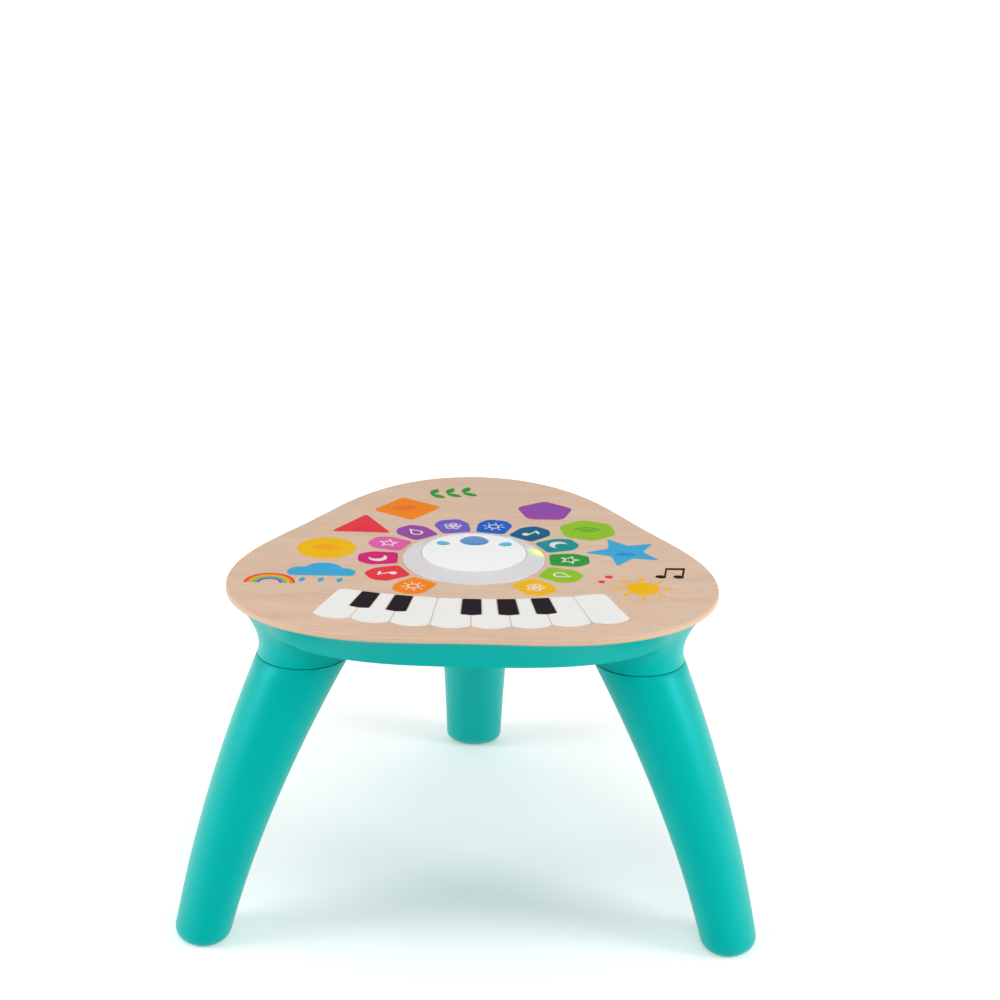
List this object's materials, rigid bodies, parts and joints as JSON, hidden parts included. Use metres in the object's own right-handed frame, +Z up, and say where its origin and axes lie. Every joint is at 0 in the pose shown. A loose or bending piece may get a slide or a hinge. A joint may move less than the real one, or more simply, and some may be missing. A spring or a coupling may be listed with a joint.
{
  "type": "musical activity table",
  "caption": "Toddler activity table: lobed wooden top with a printed piano fan, note tiles and shapes, a light-up dome with push buttons, and plug-in bowed legs.",
  "frame": {"origin": "middle of the footprint on the floor: the middle of the bounding box, at the feet", "axes": "+X to the right of a child who stands at the keyboard, +Y away from the child, +Z up"},
  "size_m": [0.5976, 0.5501, 0.3715],
  "materials": {
    "plywood": "satin lacquer",
    "teal_plastic": "fine satin",
    "white_plastic": "semi-gloss",
    "milky_plastic": "translucent, semi-gloss",
    "blue_plastic": "semi-gloss",
    "light_blue_plastic": "semi-gloss",
    "steel": "zinc plated",
    "black_plastic": "matt",
    "circuit_board": "satin",
    "battery_case": "gloss",
    "spring_steel": "nickel plated",
    "film": "satin",
    "copper_film": "satin",
    "wire_insulation": "satin",
    "rubber": "matt",
    "ink_white": "screen-printed ink",
    "ink_black": "screen-printed ink",
    "ink_orange": "screen-printed ink",
    "ink_red": "screen-printed ink",
    "ink_magenta": "screen-printed ink",
    "ink_pink": "screen-printed ink",
    "ink_purple": "screen-printed ink",
    "ink_violet": "screen-printed ink",
    "ink_blue": "screen-printed ink",
    "ink_petrol": "screen-printed ink",
    "ink_teal": "screen-printed ink",
    "ink_green": "screen-printed ink",
    "ink_lime": "screen-printed ink",
    "ink_yellow": "screen-printed ink",
    "ink_sky": "screen-printed ink",
    "ink_marks": "screen-printed ink"
  },
  "bodies": {
    "table": {"wood_top": "plywood", "ink_white": "ink_white", "ink_black": "ink_black", "ink_orange": "ink_orange", "ink_red": "ink_red", "ink_magenta": "ink_magenta", "ink_pink": "ink_pink", "ink_purple": "ink_purple", "ink_violet": "ink_violet", "ink_blue": "ink_blue", "ink_petrol": "ink_petrol", "ink_teal": "ink_teal", "ink_green": "ink_green", "ink_lime": "ink_lime", "ink_yellow": "ink_yellow", "ink_sky": "ink_sky", "ink_marks": "ink_marks", "top_housing": "teal_plastic", "bottom_cover": "teal_plastic", "cover_screws": "steel", "battery_cells": "battery_case", "battery_contacts": "spring_steel", "speaker_frame": "steel", "speaker_cone": "black_plastic", "main_board": "circuit_board", "board_chips": "black_plastic", "touch_film": "film", "sensor_pads": "black_plastic", "flex_cable": "copper_film", "wires": "wire_insulation", "power_switch_body": "black_plastic", "light_ring": "milky_plastic", "dome_cap": "white_plastic", "cap_screws": "steel", "switch_bodies": "black_plastic", "dome_board": "circuit_board", "leds": "milky_plastic", "leg_left": "teal_plastic", "leg_right": "teal_plastic", "leg_back": "teal_plastic", "spigot_left": "white_plastic", "spigot_right": "white_plastic", "spigot_back": "white_plastic", "foot_pad_left": "rubber", "foot_pad_right": "rubber", "foot_pad_back": "rubber", "leg_screws": "steel"},
    "mode_key": {"mode_button": "blue_plastic", "mode_plunger": "white_plastic"},
    "left_key": {"left_button": "light_blue_plastic", "left_plunger": "white_plastic"},
    "right_key": {"right_button": "light_blue_plastic", "right_plunger": "white_plastic"},
    "power_knob": {"power_switch_knob": "white_plastic"},
    "battery_hatch": {"battery_door": "teal_plastic", "door_screw": "steel"}
  },
  "joints": [
    {"name": "mode_press", "type": "slide", "parent": "table", "child": "mode_key", "axis": [0, 0, -1], "range_m": [0, 0.0012], "stiffness_N_per_m": 700, "springref_m": -0.001},
    {"name": "left_press", "type": "slide", "parent": "table", "child": "left_key", "axis": [0, 0, -1], "range_m": [0, 0.0012], "stiffness_N_per_m": 700, "springref_m": -0.001},
    {"name": "right_press", "type": "slide", "parent": "table", "child": "right_key", "axis": [0, 0, -1], "range_m": [0, 0.0012], "stiffness_N_per_m": 700, "springref_m": -0.001},
    {"name": "power_slide", "type": "slide", "parent": "table", "child": "power_knob", "axis": [1, 0, 0], "range_m": [0, 0.008]},
    {"name": "battery_lift_off", "type": "slide", "parent": "table", "child": "battery_hatch", "axis": [0, 0, -1], "range_m": [0, 0.04]}
  ]
}
